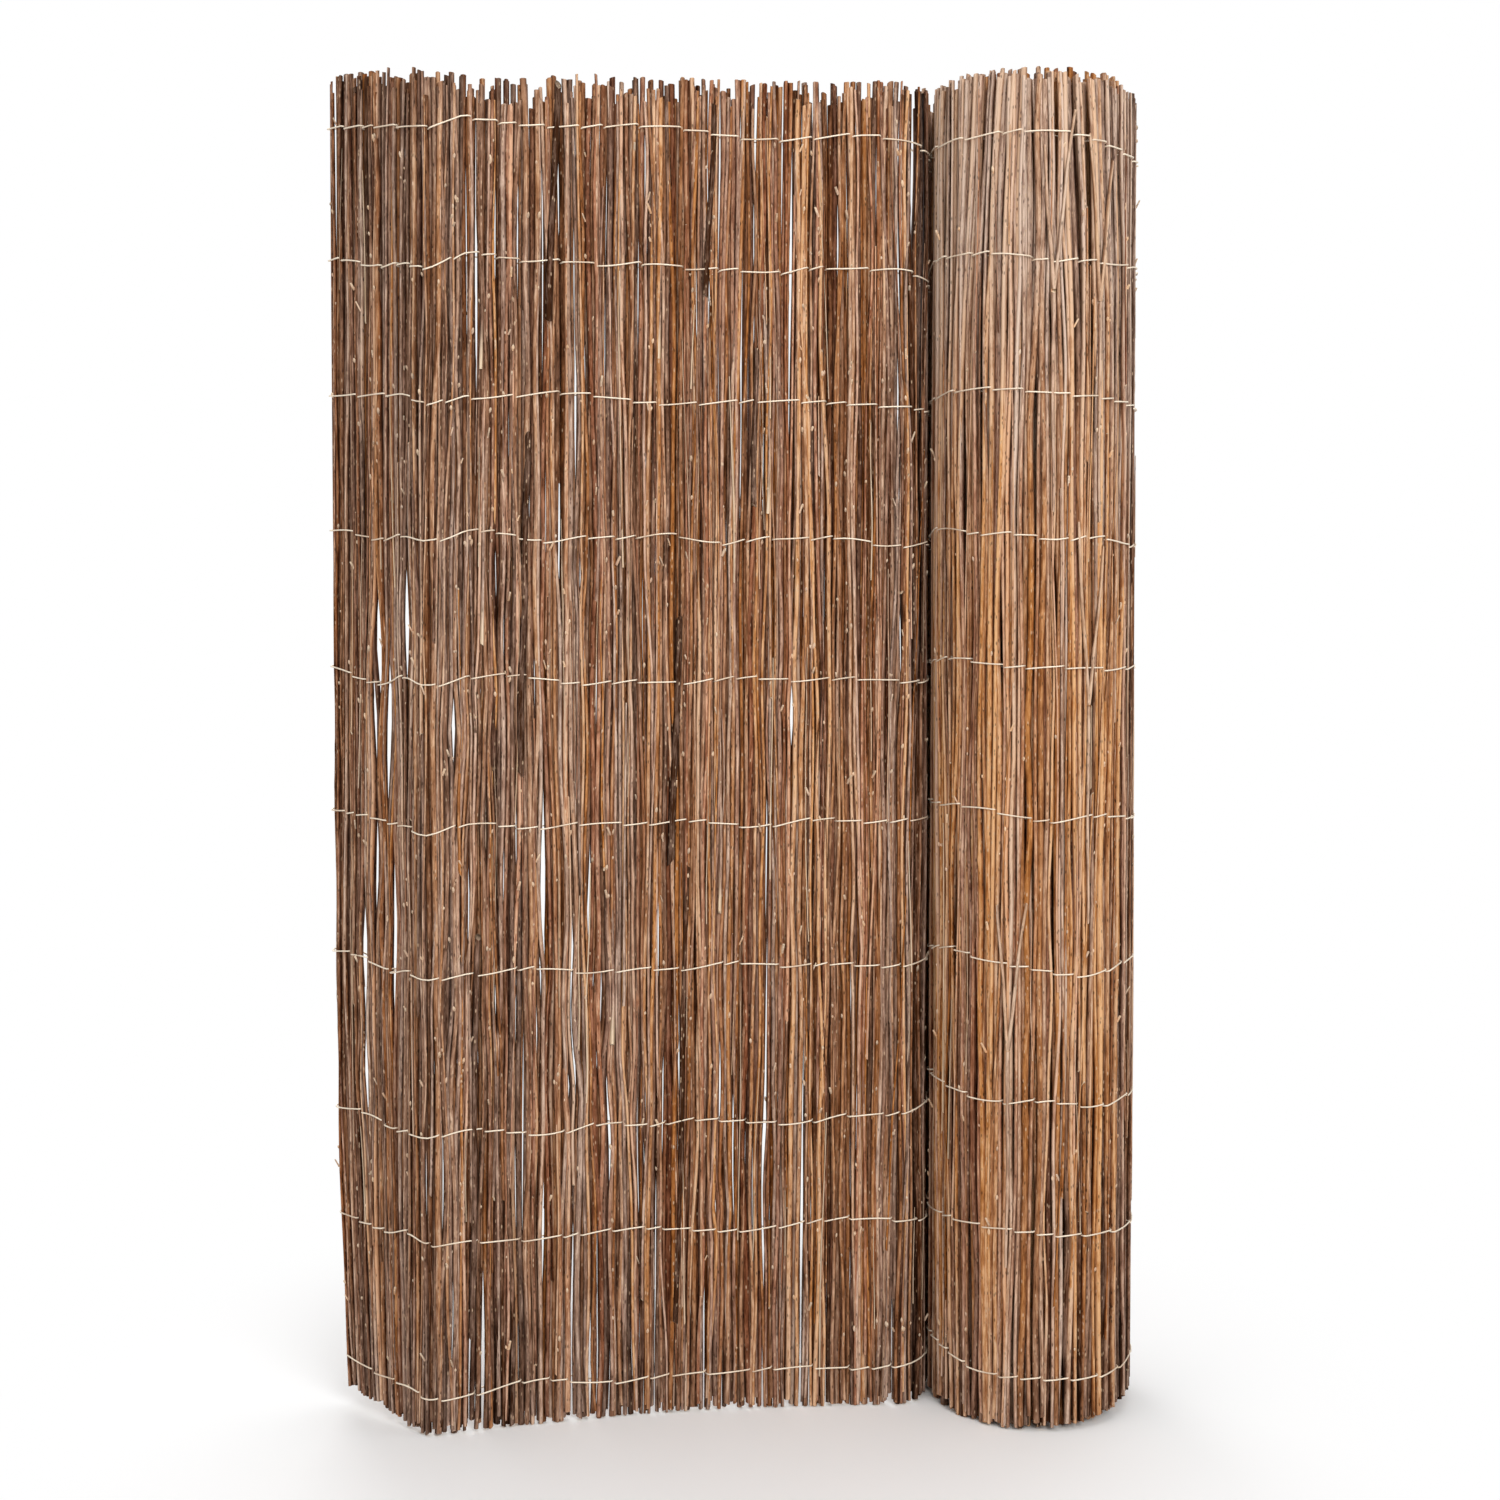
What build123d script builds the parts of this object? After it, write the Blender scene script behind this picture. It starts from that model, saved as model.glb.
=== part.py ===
from build123d import *

import os
from math import atan2, ceil, cos, degrees, dist, radians, sin, tan
from random import Random

# Willow screening fence, partly unrolled and standing on end.
# Upright willow rods lie side by side and are held by rows of twined wire. From the left, the mat runs along
# a short wing that is folded back, across an open panel, through a tight lead-in bend and round a roll.
# The unrolled rods are one wall of ridges, with a slit wherever the two strands of a row change sides.
# Millimetres, +Z up, the panel faces -Y. The origin is on the floor, under the middle of the whole object.

# Rods
ROD_LENGTH = 1485.0  # the longest rods
ROD_THICKNESS = 9.8  # mean, across the flats
ROD_VARIATION = 0.8  # thickest and thinnest rods, either side of the mean
ROD_BITE = 0.7  # how far neighbours press into each other
ROD_SIDES = 8
TIP_RAGGED = 44.0  # the shortest rods are this much shorter than the longest
CUT_TOGETHER = 0.7  # share of rods that are as long as the one before
SEED = 41

# Plan of the mat, along the middle of its thickness
ROLL_RADIUS = 118.0  # where the mat first meets the roll
TURN_GAP = 2.2  # between the thickest rods of neighbouring turns
CORE_RADIUS = 24.0  # about where the innermost turn ends
LEAD_RADIUS = 40.0  # bend between the panel and the roll
LEAD_FACETS = 3
PANEL_LENGTH = 510.0
PANEL_BOW = 85.0  # the fold comes this much nearer to the viewer than the lead-in
WING_LENGTH = 157.0
WING_ANGLE = 39.0  # degrees between the wing and the panel's general line
WING_LIFT = 22.0  # the free edge has slipped upwards by this much

# Rows of wire
WIRE_THICKNESS = 1.6
WIRE_CLEARANCE = 0.3  # between a strand and the thickest rod
ROW_SPACING = 156.0
LOWEST_ROW = 36.0  # above the floor
TOP_MARGIN = 40.0  # least distance from the highest row to the longest tips
TWIST_SPACING = 130.0  # about, along the mat, from one twist of the strands to the next
TWIST_RISE = 2.6  # a strand climbs this much as it crosses the front of a bundle
SLIPPED_ROW = 2  # counted from the lowest; it has slid down on the panel
ROW_SLIP = 36.0
RING_SIDES = 16  # the taut wire goes round the roll as a polygon

# Slits at the twists
SLIT_WIDTH = 3.2
SLIT_SHORTEST = 30.0
SLIT_LONGEST = 90.0

# Seat of the wall's last rod beside the roll's first
SEAT_GAP = 0.2

random = Random(SEED)
rod_pitch = ROD_THICKNESS - ROD_BITE
rod_thickest = ROD_THICKNESS + ROD_VARIATION
turn_pitch = rod_thickest + TURN_GAP
wire_offset = rod_thickest / 2 + WIRE_CLEARANCE + WIRE_THICKNESS / 2


# Corner points of the unrolled mat, from the free edge to the roll
def wing_point(share):
    fold_x, fold_y = panel_point(0)
    reach = WING_LENGTH * (1 - share)
    return (fold_x - reach * cos(radians(WING_ANGLE)), fold_y + reach * sin(radians(WING_ANGLE)))


def panel_point(share):
    left = 1 - share
    return (-ROLL_RADIUS - LEAD_RADIUS - PANEL_LENGTH * left, -LEAD_RADIUS - PANEL_BOW * left**2)


def lead_point(share):
    turn = radians(90 * share - 90)
    return (-ROLL_RADIUS - LEAD_RADIUS + LEAD_RADIUS * cos(turn), LEAD_RADIUS * sin(turn))


wing_bundles = max(1, round(WING_LENGTH / TWIST_SPACING))
panel_bundles = max(1, round(PANEL_LENGTH / TWIST_SPACING))
fold = wing_bundles
lead_start = wing_bundles + panel_bundles
roll_start = lead_start + LEAD_FACETS
corners = [wing_point(i / wing_bundles) for i in range(wing_bundles)]
corners += [panel_point(i / panel_bundles) for i in range(panel_bundles)]
corners += [lead_point(i / LEAD_FACETS) for i in range(LEAD_FACETS + 1)]
twists = range(1, lead_start + 1)


def run_angle(i):
    # Direction of the straight run that starts at a corner, in degrees. The roll starts along +Y.
    if i == roll_start:
        return 90.0
    (x1, y1), (x2, y2) = corners[i], corners[i + 1]
    return degrees(atan2(y2 - y1, x2 - x1))


def corner_angle(i):
    # Direction of the mat at a corner, halfway between its two runs.
    if i == 0:
        return run_angle(i)
    return (run_angle(i - 1) + run_angle(i)) / 2


def strand_place(i, side):
    # Plan position of a strand at a corner: side 1 is the mat's front and side -1 its back.
    angle = radians(corner_angle(i))
    reach = side * wire_offset / cos(angle - radians(run_angle(i)))
    return (corners[i][0] + reach * sin(angle), corners[i][1] - reach * cos(angle))


def lift(x):
    # How far the wing has slipped upwards at a plan position.
    fold_x = corners[fold][0]
    return WING_LIFT * max(0.0, (fold_x - x) / (fold_x - corners[0][0]))


# Rods, each with its own thickness, foot and tip
def rod_widths(length):
    count = ceil(length / rod_pitch)
    widths = [1 + random.uniform(-1, 1) * ROD_VARIATION / ROD_THICKNESS / 2 for _ in range(count)]
    return [width * length / sum(widths) for width in widths]


def rod_lengths(count):
    lengths = []
    for _ in range(count):
        if not lengths or random.random() > CUT_TOGETHER:
            length = ROD_LENGTH - TIP_RAGGED * max(0.0, random.uniform(-0.1, 1)) ** 1.5
        lengths.append(length)
    return lengths


def make_rod(x, y, angle, width, length):
    with BuildPart() as rod:
        with BuildSketch(Plane(Location((x, y, lift(x)), (0, 0, angle)))):
            RegularPolygon((width + ROD_BITE) / 2, ROD_SIDES, major_radius=False, rotation=180 / ROD_SIDES)
        extrude(amount=length)
    return rod.part


def straight_rods(i):
    # The rods of one straight run of the mat.
    angle = run_angle(i)
    widths = rod_widths(dist(corners[i], corners[i + 1]))
    rods = []
    reach = 0.0
    for width, length in zip(widths, rod_lengths(len(widths))):
        middle = reach + width / 2
        x = corners[i][0] + middle * cos(radians(angle))
        y = corners[i][1] + middle * sin(radians(angle))
        rods.append(make_rod(x, y, angle, width, length))
        reach += width
    return rods


def half_turn(k):
    # Centre and radius of a half turn of the roll. Two centres in turn make the halves meet smoothly.
    return (turn_pitch / 2 * (k % 2), ROLL_RADIUS - turn_pitch / 2 * k)


def curved_rods(k, gap):
    # The rods along one half turn of the roll, which winds clockwise seen from above.
    centre_x, radius = half_turn(k)
    start = radians(180 - 180 * k)
    widths = rod_widths(radius * radians(180) - gap)
    rods = []
    reach = gap
    for width, length in zip(widths, rod_lengths(len(widths))):
        angle = start - (reach + width / 2) / radius
        x = centre_x + radius * cos(angle)
        y = radius * sin(angle)
        rods.append(make_rod(x, y, degrees(angle) - 90, width, length))
        reach += width
    return rods


# Heights of the rows
row_count = 1 + int((ROD_LENGTH - TOP_MARGIN - LOWEST_ROW) / ROW_SPACING)


def row_height(row, i):
    slipped = row == SLIPPED_ROW and fold <= i < lead_start
    return LOWEST_ROW + ROW_SPACING * row + lift(corners[i][0]) - (ROW_SLIP if slipped else 0.0)


# Wall: wing, panel and lead-in
def make_slit(row, i):
    height = random.uniform(SLIT_SHORTEST, SLIT_LONGEST)
    spare = height / 2 - TWIST_RISE - WIRE_THICKNESS
    middle = row_height(row, i) + random.uniform(-spare, spare)
    place = Location((*corners[i], middle), (0, 0, corner_angle(i)))
    return place * Box(SLIT_WIDTH, 3 * rod_thickest, height)


wall_rods = [rod for i in range(roll_start) for rod in straight_rods(i)]
slits = [make_slit(row, i) for row in range(row_count) for i in twists]

with BuildPart() as wall:
    add(wall_rods)
    add(slits, mode=Mode.SUBTRACT)
wall.part.label = "unrolled_wall"

# Roll: an outer turn of rods round a plain spiral band, which is the turns inside it
half_turns = ceil(2 * (ROLL_RADIUS - CORE_RADIUS) / turn_pitch)
flat_corner = rod_thickest / 2 * tan(radians(180 / ROD_SIDES))
seat = SEAT_GAP + ROD_BITE + flat_corner * sin(radians(90 - run_angle(roll_start - 1)))
turn_rods = curved_rods(0, seat) + curved_rods(1, 0.0)


def band_end(k, angle):
    # Inner and outer points of the band where a half turn starts or ends.
    centre_x, radius = half_turn(k)
    side = cos(radians(angle))
    return [(centre_x + side * (radius + edge), 0) for edge in (-rod_pitch / 2, rod_pitch / 2)]


with BuildPart() as roll:
    with BuildSketch():
        with BuildLine():
            for k in range(2, half_turns):
                centre_x, radius = half_turn(k)
                CenterArc((centre_x, 0), radius + rod_pitch / 2, 180 - 180 * k, -180)
                CenterArc((centre_x, 0), radius - rod_pitch / 2, 180 - 180 * k, -180)
            Line(*band_end(2, 180))
            Line(*band_end(half_turns - 1, -180 * (half_turns - 1)))
        make_face()
    extrude(amount=ROD_LENGTH - TIP_RAGGED)
    add(turn_rods)
roll.part.label = "roll"


# Rows of wire: each is one wire, doubled round the edge rod, twined along the wall and laid round the roll
def strand_points(row, side, start):
    # Corner points of one strand from a corner near the roll to the free edge.
    points = []
    for i in range(start, 0, -1):
        height = row_height(row, i) - side * TWIST_RISE / 2
        points.append((*strand_place(i, side), height))
        if i in twists:
            side = -side
            points.append((*strand_place(i, side), height))
    past = ROD_BITE / 2 + WIRE_CLEARANCE + WIRE_THICKNESS / 2
    angle = radians(run_angle(0))
    x, y = strand_place(0, side)
    points.append((x - past * cos(angle), y - past * sin(angle), row_height(row, 0)))
    return points


def ring_points(height):
    # Corner points of the ring that a strand makes round the roll's outer turn.
    half_side = 180 / RING_SIDES
    points = []
    for k in (0, 1):
        centre_x, radius = half_turn(k)
        reach = (radius + wire_offset) / cos(radians(half_side))
        for j in range(RING_SIDES // 2):
            angle = radians(180 - 180 * k - (2 * j + 1) * half_side)
            points.append((centre_x + reach * cos(angle), reach * sin(angle), height))
    return points


def make_wire(row):
    inner = strand_points(row, 1, lead_start + 1)
    outer = strand_points(row, -1, roll_start)
    ring = ring_points(outer[0][2])
    with BuildPart() as wire:
        with BuildLine() as path:
            Polyline(*inner, *reversed(outer), *ring)
        with BuildSketch(Plane(path.line @ 0, z_dir=path.line % 0)):
            Rectangle(WIRE_THICKNESS, WIRE_THICKNESS)
        sweep(path=path.wires()[0], transition=Transition.RIGHT)
    wire.part.label = f"wire_row_{row + 1:02d}"
    return wire.part


wires = [make_wire(row) for row in range(row_count)]

# The origin is under the middle of the whole object
pieces = [wall.part, roll.part, *wires]
box = Compound(pieces).bounding_box()
to_origin = Location((-box.center().X, -box.center().Y, -box.min.Z))

os.makedirs("parts", exist_ok=True)
for piece in pieces:
    export_step(piece.moved(to_origin), f"parts/{piece.label}.step")
print("size", box.size, "moved by", to_origin.position, "twists", len(slits))
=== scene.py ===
import math

import bpy
import numpy as np
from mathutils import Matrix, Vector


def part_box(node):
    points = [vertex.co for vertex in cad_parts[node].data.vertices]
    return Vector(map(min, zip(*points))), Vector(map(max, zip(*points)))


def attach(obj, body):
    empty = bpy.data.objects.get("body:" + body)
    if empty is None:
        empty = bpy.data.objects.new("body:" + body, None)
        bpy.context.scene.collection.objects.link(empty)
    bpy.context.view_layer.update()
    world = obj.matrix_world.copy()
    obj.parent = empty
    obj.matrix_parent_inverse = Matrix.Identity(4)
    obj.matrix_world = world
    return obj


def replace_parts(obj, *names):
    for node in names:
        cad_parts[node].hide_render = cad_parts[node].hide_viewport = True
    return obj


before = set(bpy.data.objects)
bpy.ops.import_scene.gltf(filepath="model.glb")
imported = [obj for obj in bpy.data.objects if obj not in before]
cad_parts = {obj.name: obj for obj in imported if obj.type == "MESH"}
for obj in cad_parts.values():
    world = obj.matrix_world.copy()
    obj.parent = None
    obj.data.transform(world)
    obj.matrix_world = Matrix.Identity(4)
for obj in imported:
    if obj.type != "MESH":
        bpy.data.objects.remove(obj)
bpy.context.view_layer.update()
print("frame loaded")

# The mat's plan, in metres, as the solids have it
mat = {
    "rollRadius": 0.118, "turnPitch": 0.0128, "coreRadius": 0.024, "halfThickness": 0.0053,
    "leadRadius": 0.040, "panelLength": 0.510, "panelBow": 0.085,
    "wingLength": 0.157, "wingAngle": 39.0, "wingLift": 0.022, "foldSoftness": 0.008,
    "rodLength": 1.485, "step": 0.001,
}

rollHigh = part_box("roll")[1]
axisX = rollHigh[0] - mat["rollRadius"] - mat["halfThickness"]  # the roll's axis in plan
axisY = rollHigh[1] - mat["rollRadius"] - mat["halfThickness"]


def straightLine(start, end):
    count = max(2, int(math.dist(start, end) / mat["step"]))
    return np.linspace(start, end, count, endpoint=False)


def softened(line, reach):
    # Moving average along the line, with the ends carried on straight.
    half = int(reach / mat["step"])
    before = 2 * line[0] - line[half:0:-1]
    after = 2 * line[-1] - line[-2:-half - 2:-1]
    longer = np.vstack([before, line, after])
    window = np.hanning(2 * half + 3)[1:-1]
    window /= window.sum()
    return np.column_stack([np.convolve(longer[:, k], window, "valid") for k in (0, 1)])


def matLine():
    radius, lead = mat["rollRadius"], mat["leadRadius"]
    panelEnd = -radius - lead
    share = np.linspace(1, 0, int(mat["panelLength"] / mat["step"]), endpoint=False)
    panel = np.column_stack([panelEnd - mat["panelLength"] * share, -lead - mat["panelBow"] * share**2])
    angle = math.radians(mat["wingAngle"])
    edge = panel[0] + mat["wingLength"] * np.array([-math.cos(angle), math.sin(angle)])
    wing = straightLine(edge, panel[0])
    turn = np.radians(np.linspace(-90, 0, int(lead * math.pi / 2 / mat["step"]), endpoint=False))
    leadIn = np.column_stack([panelEnd + lead * np.cos(turn), lead * np.sin(turn)])
    flat = softened(np.vstack([wing, panel, leadIn]), mat["foldSoftness"])
    halves = []
    k = 0
    while radius - mat["turnPitch"] / 2 * k > mat["coreRadius"]:
        r = radius - mat["turnPitch"] / 2 * k
        turn = np.radians(180 - 180 * k - np.linspace(0, 180, int(r * math.pi / mat["step"]), endpoint=False))
        halves.append(np.column_stack([mat["turnPitch"] / 2 * (k % 2) + r * np.cos(turn), r * np.sin(turn)]))
        k += 1
    line = np.vstack([flat] + halves) + (axisX, axisY)
    outerEnd = len(flat) + len(halves[0]) + len(halves[1])
    return line, len(flat), outerEnd


lineXY, flatCount, outerCount = matLine()
lineS = np.concatenate([[0], np.cumsum(np.hypot(*np.diff(lineXY, axis=0).T))])
lineTurn = np.unwrap(np.arctan2(*np.gradient(lineXY, axis=0).T[::-1]))
foldAt = mat["wingLength"]
rollAt = lineS[flatCount]
innerAt = lineS[outerCount]
coreAt = lineS[-1]
rollFront = innerAt - mat["rollRadius"] * math.pi / 2  # the roll's front, where it faces the viewer


def onMat(s, depth):
    # Plan points along the mat; depth is towards the mat's back, which is the roll's outside.
    x = np.interp(s, lineS, lineXY[:, 0])
    y = np.interp(s, lineS, lineXY[:, 1])
    turn = np.interp(s, lineS, lineTurn)
    return x - depth * np.sin(turn), y + depth * np.cos(turn), turn


def wingLift(s):
    return mat["wingLift"] * np.clip(1 - np.asarray(s) / foldAt, 0, 1)


print("mat line", round(coreAt, 3), "m, roll from", round(rollAt, 3))


# Slow waves that neighbours share, so that rods lean and stray together
def slowWaves(rng, count, shortest, longest):
    length = rng.uniform(shortest, longest, count)
    return rng.uniform(0.5, 1, count), 2 * math.pi / length, rng.uniform(0, 2 * math.pi, count)


def waveAt(waves, x):
    size, rate, phase = waves
    x = np.asarray(x)[..., None]
    return (size * np.sin(rate * x + phase)).sum(-1) / size.sum()


# A mesh in the making: tubes with the bark's own coordinates and tints
def newParts():
    return {"points": [], "space": [], "tints": [], "faces": [], "flat": [], "count": 0}


def addPoints(parts, points, space, tints):
    parts["points"].append(points.reshape(-1, 3))
    parts["space"].append(space.reshape(-1, 3))
    parts["tints"].append(tints.reshape(-1, 4))
    start = parts["count"]
    parts["count"] += points.size // 3
    return start


def addTube(parts, points, space, tints, bareEnds=1.0):
    rings, sides = points.shape[:2]
    start = addPoints(parts, points, space, tints)
    index = start + np.arange(rings * sides).reshape(rings, sides)
    right = np.roll(index, -1, axis=1)
    quads = np.stack([index[:-1], right[:-1], right[1:], index[1:]], axis=-1).reshape(-1, 4)
    parts["faces"].extend(quads.tolist())
    parts["flat"].extend([False] * len(quads))
    for k in (0, -1):
        cut = tints[k].copy()
        cut[:, 2] = np.maximum(cut[:, 2], bareEnds)
        start = addPoints(parts, points[k], space[k], cut)
        loop = list(range(start, start + sides))
        parts["faces"].append(loop[::-1] if k == 0 else loop)
        parts["flat"].append(True)


def makePiece(parts, name, material):
    mesh = bpy.data.meshes.new(name)
    mesh.from_pydata(np.vstack(parts["points"]).tolist(), [], parts["faces"])
    mesh.polygons.foreach_set("use_smooth", np.logical_not(parts["flat"]))
    space = mesh.attributes.new("rodSpace", "FLOAT_VECTOR", "POINT")
    space.data.foreach_set("vector", np.vstack(parts["space"]).astype(np.float32).ravel())
    # The tint's alpha holds painted shade for the grooves and the inner faces
    tint = mesh.attributes.new("rodTint", "FLOAT_COLOR", "POINT")
    tint.data.foreach_set("color", np.vstack(parts["tints"]).astype(np.float32).ravel())
    mesh.materials.append(material)
    mesh.update()
    piece = bpy.data.objects.new(name, mesh)
    bpy.context.collection.objects.link(piece)
    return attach(piece, "root")


def ringsAlong(points, radii, sides):
    # Rings of points round a line.
    along = np.gradient(points, axis=0)
    along /= np.linalg.norm(along, axis=1)[:, None]
    nearlyUpright = np.abs(along[:, 2:3]) > 0.8
    upright = np.where(nearlyUpright, [[0.0, 1.0, 0.0]], [[0.0, 0.0, 1.0]])
    side = np.cross(along, upright)
    side /= np.linalg.norm(side, axis=1)[:, None]
    rise = np.cross(side, along)
    angle = np.linspace(0, 2 * math.pi, sides, endpoint=False)
    ring = np.cos(angle)[None, :, None] * side[:, None] + np.sin(angle)[None, :, None] * rise[:, None]
    return points[:, None] + np.asarray(radii)[:, None, None] * ring


# Partings: lens-shaped slits where neighbouring rods bow apart. The skew is how far a slit slants along the
# mat from its front to its back, as a share of the depth.
partings = {
    "wing": {"count": 9, "s": (0.045, 0.14), "z": (0.04, 1.02), "half": (0.05, 0.11),
             "push": (0.0060, 0.0078), "skew": -1.2},
    "leftLow": {"count": 22, "s": (0.17, 0.40), "z": (0.05, 0.62), "half": (0.03, 0.09),
                "push": (0.0024, 0.0035), "skew": 0.0},
    "left": {"count": 5, "s": (0.17, 0.40), "z": (0.62, 1.35), "half": (0.02, 0.06),
             "push": (0.0024, 0.0034), "skew": 0.0},
    "right": {"count": 3, "s": (0.40, 0.66), "z": (0.05, 1.00), "half": (0.02, 0.04),
              "push": (0.0024, 0.0032), "skew": 0.0},
    "junction": {"count": 1, "s": (0.696, 0.699), "z": (1.38, 1.42), "half": (0.10, 0.13),
                 "push": (0.0076, 0.0080), "skew": 0.7},
    "leadIn": {"count": 1, "s": (0.713, 0.716), "z": (1.32, 1.36), "half": (0.12, 0.15),
               "push": (0.0080, 0.0084), "skew": 1.6},
    "reach": 0.026, "seed": 55,
}


def makePartings():
    rng = np.random.default_rng(partings["seed"])
    drawn = ("s", "z", "half", "push")
    made = []
    for stretch in partings.values():
        if isinstance(stretch, dict):
            for _ in range(stretch["count"]):
                made.append([rng.uniform(*stretch[key]) for key in drawn] + [stretch["skew"]])
    return np.array(made)


madePartings = makePartings()


def partedBy(s, depth, z):
    shift = np.zeros_like(z)
    for place, height, half, push, skew in madePartings:
        away = s - place - skew * depth
        if abs(away) < partings["reach"]:
            ease = (1 - abs(away) / partings["reach"]) * np.exp(-(((z - height) / half) ** 2))
            shift += math.copysign(push, away) * ease
    return shift


# Painted shade in the grooves between rods: the share of its own colour that a rod keeps there, and how fast
# it darkens
paintedGrooveShade = {"kept": 0.04, "fall": 1.45}

# Knots: the rings about one, how far they stay from the ends, and how much and how far they swell
knotShape = {"rings": (-0.009, -0.003, 0.003, 0.010), "margin": 0.03, "swell": (0.06, 0.24), "reach": 0.006,
             "closest": 0.08}
outOfRound = (0.07, 0.04)  # how far a rod is from round, as an oval and as a blunt triangle


# One willow rod: bent, knotty and tapered
def willowRod(rng, s, depth, foot, tip, thick, thin, form, waves):
    spacing = (tip - foot) / form["rings"]
    z = np.linspace(foot, tip, form["rings"] + 1)
    knots = rng.uniform(foot + knotShape["margin"], tip - knotShape["margin"], rng.poisson(form["knots"]))
    z = np.unique(np.concatenate([z] + [knots + shift for shift in knotShape["rings"]]))
    z = z[np.concatenate([[True], np.diff(z) > spacing * knotShape["closest"]])]
    z[0], z[-1] = foot, tip
    share = (z - foot) / (tip - foot)
    if rng.random() < form["upsideDown"]:
        thick, thin = thin, thick
    radius = (thick + (thin - thick) * share) / 2
    for knot in knots:
        swell = rng.uniform(*knotShape["swell"]) * np.exp(-(((z - knot) / knotShape["reach"]) ** 2))
        radius = radius * (1 + swell)
    lean = form["lean"] + form["leanWave"] * waveAt(waves["lean"], s) + rng.normal(0, form["ownLean"])
    own = slowWaves(rng, 3, *form["strayLengths"])
    middle = (foot + tip) / 2
    stray = lean * (z - middle) + form["stray"] * waveAt(own, z)
    stray = stray + form["shared"] * waveAt(waves["stray"], s * form["acrossRate"] + z)
    for knot in knots[: len(knots) // 2]:  # a rod kinks a little at some of its knots
        stray = stray + rng.normal(0, form["kink"]) * np.abs(z - knot)
    stray = stray - np.interp(middle, z, stray)
    alongMat = s + stray + partedBy(s, depth, z) + form["gather"](s, z)
    wander = depth + form["depthStray"] * waveAt(slowWaves(rng, 3, *form["strayLengths"]), z)
    return {"z": z, "s": np.clip(alongMat, form["from"], form["to"]), "depth": wander, "radius": radius}


def addRod(parts, rng, rod, tint, sides, paintedShade=(1, 1), slant=0.5, bareEnds=1.0):
    # The painted shade is for the faces towards the mat's front and back; the grooves between rods get
    # painted shade too.
    angle = np.linspace(0, 2 * math.pi, sides, endpoint=False) + rng.uniform(0, 2 * math.pi)
    oval = 1 + outOfRound[0] * np.cos(2 * angle + rng.uniform(0, 6))
    oval = oval + outOfRound[1] * np.cos(3 * angle + rng.uniform(0, 6))
    x, y, turn = onMat(rod["s"], rod["depth"])
    reach = rod["radius"][:, None] * oval[None, :]
    along = reach * np.cos(angle)
    back = reach * np.sin(angle)
    points = np.empty(reach.shape + (3,))
    points[..., 0] = x[:, None] + along * np.cos(turn)[:, None] - back * np.sin(turn)[:, None]
    points[..., 1] = y[:, None] + along * np.sin(turn)[:, None] + back * np.cos(turn)[:, None]
    points[..., 2] = rod["z"][:, None]
    for k, way in ((0, 1), (-1, -1)):  # slanting cuts, which only take wood away
        cut = rng.uniform(0, slant) * reach[k] * (1 + np.cos(angle - rng.uniform(0, 2 * math.pi)))
        points[k, :, 2] += way * cut
    seedSpot = rng.uniform(-20, 20, 2)
    reference = rod["radius"].mean()
    space = np.empty_like(points)
    space[..., 0] = seedSpot[0] + reference * np.cos(angle)
    space[..., 1] = seedSpot[1] + reference * np.sin(angle)
    space[..., 2] = points[..., 2]
    tints = np.empty(reach.shape + (4,))
    tints[...] = tint
    # Painted shade: faces turned sideways into the grooves, and faces towards the mat's inside, are darkened
    # in the tint's alpha
    facing = np.sin(angle)
    lit = paintedGrooveShade["kept"] + (1 - paintedGrooveShade["kept"]) * np.abs(facing) ** paintedGrooveShade["fall"]
    tints[..., 3] = np.where(facing < 0, paintedShade[0], paintedShade[1]) * lit
    if "bare" in rod:
        tints[..., 2] = rod["bare"][:, None]
    addTube(parts, points, space, tints, bareEnds)


# Colour of a rod: tone from dark to pale, warmth from grey to orange
regions = {
    "marks": [0.0, 0.157, 0.33, 0.52, 0.66, 0.695, 0.71, 0.76],  # metres along the mat
    # The low tone and warmth at the lead-in, where the mat turns back behind the roll, are painted shade
    "warmth": [0.34, 0.40, 0.46, 0.62, 0.76, 0.54, 0.14, 0.12],
    "tone": [0.54, 0.56, 0.58, 0.58, 0.59, 0.48, 0.30, 0.30],
    "toneSpread": 0.19, "warmthSpread": 0.28, "rollToneSpread": 0.25, "toneLimits": (0.02, 0.98),
    "rollMarks": [-90, -25, 20, 48, 75, 120],  # degrees round the roll, from its front to its right
    "rollWarmth": [0.78, 0.82, 0.78, 0.56, 0.42, 0.78],
    # The tone round the roll is partly the rods' own and partly painted shade: it falls on the roll's right
    # side
    "rollToneAndShade": [0.83, 0.83, 0.77, 0.61, 0.52, 0.74],
}


def rodTint(rng, s):
    warmth = np.interp(s, regions["marks"], regions["warmth"])
    tone = np.interp(s, regions["marks"], regions["tone"])
    spread = regions["toneSpread"]
    if s > rollAt:
        turned = math.degrees((rollFront - s) / mat["rollRadius"])
        warmth = np.interp(turned, regions["rollMarks"], regions["rollWarmth"])
        tone = np.interp(turned, regions["rollMarks"], regions["rollToneAndShade"])
        spread = regions["rollToneSpread"]
    tone = np.clip(tone + rng.normal(0, spread), *regions["toneLimits"])
    warmth = np.clip(warmth + rng.normal(0, regions["warmthSpread"]), 0, 1)
    return np.array([tone, warmth, 0.0, 1.0])


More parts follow.
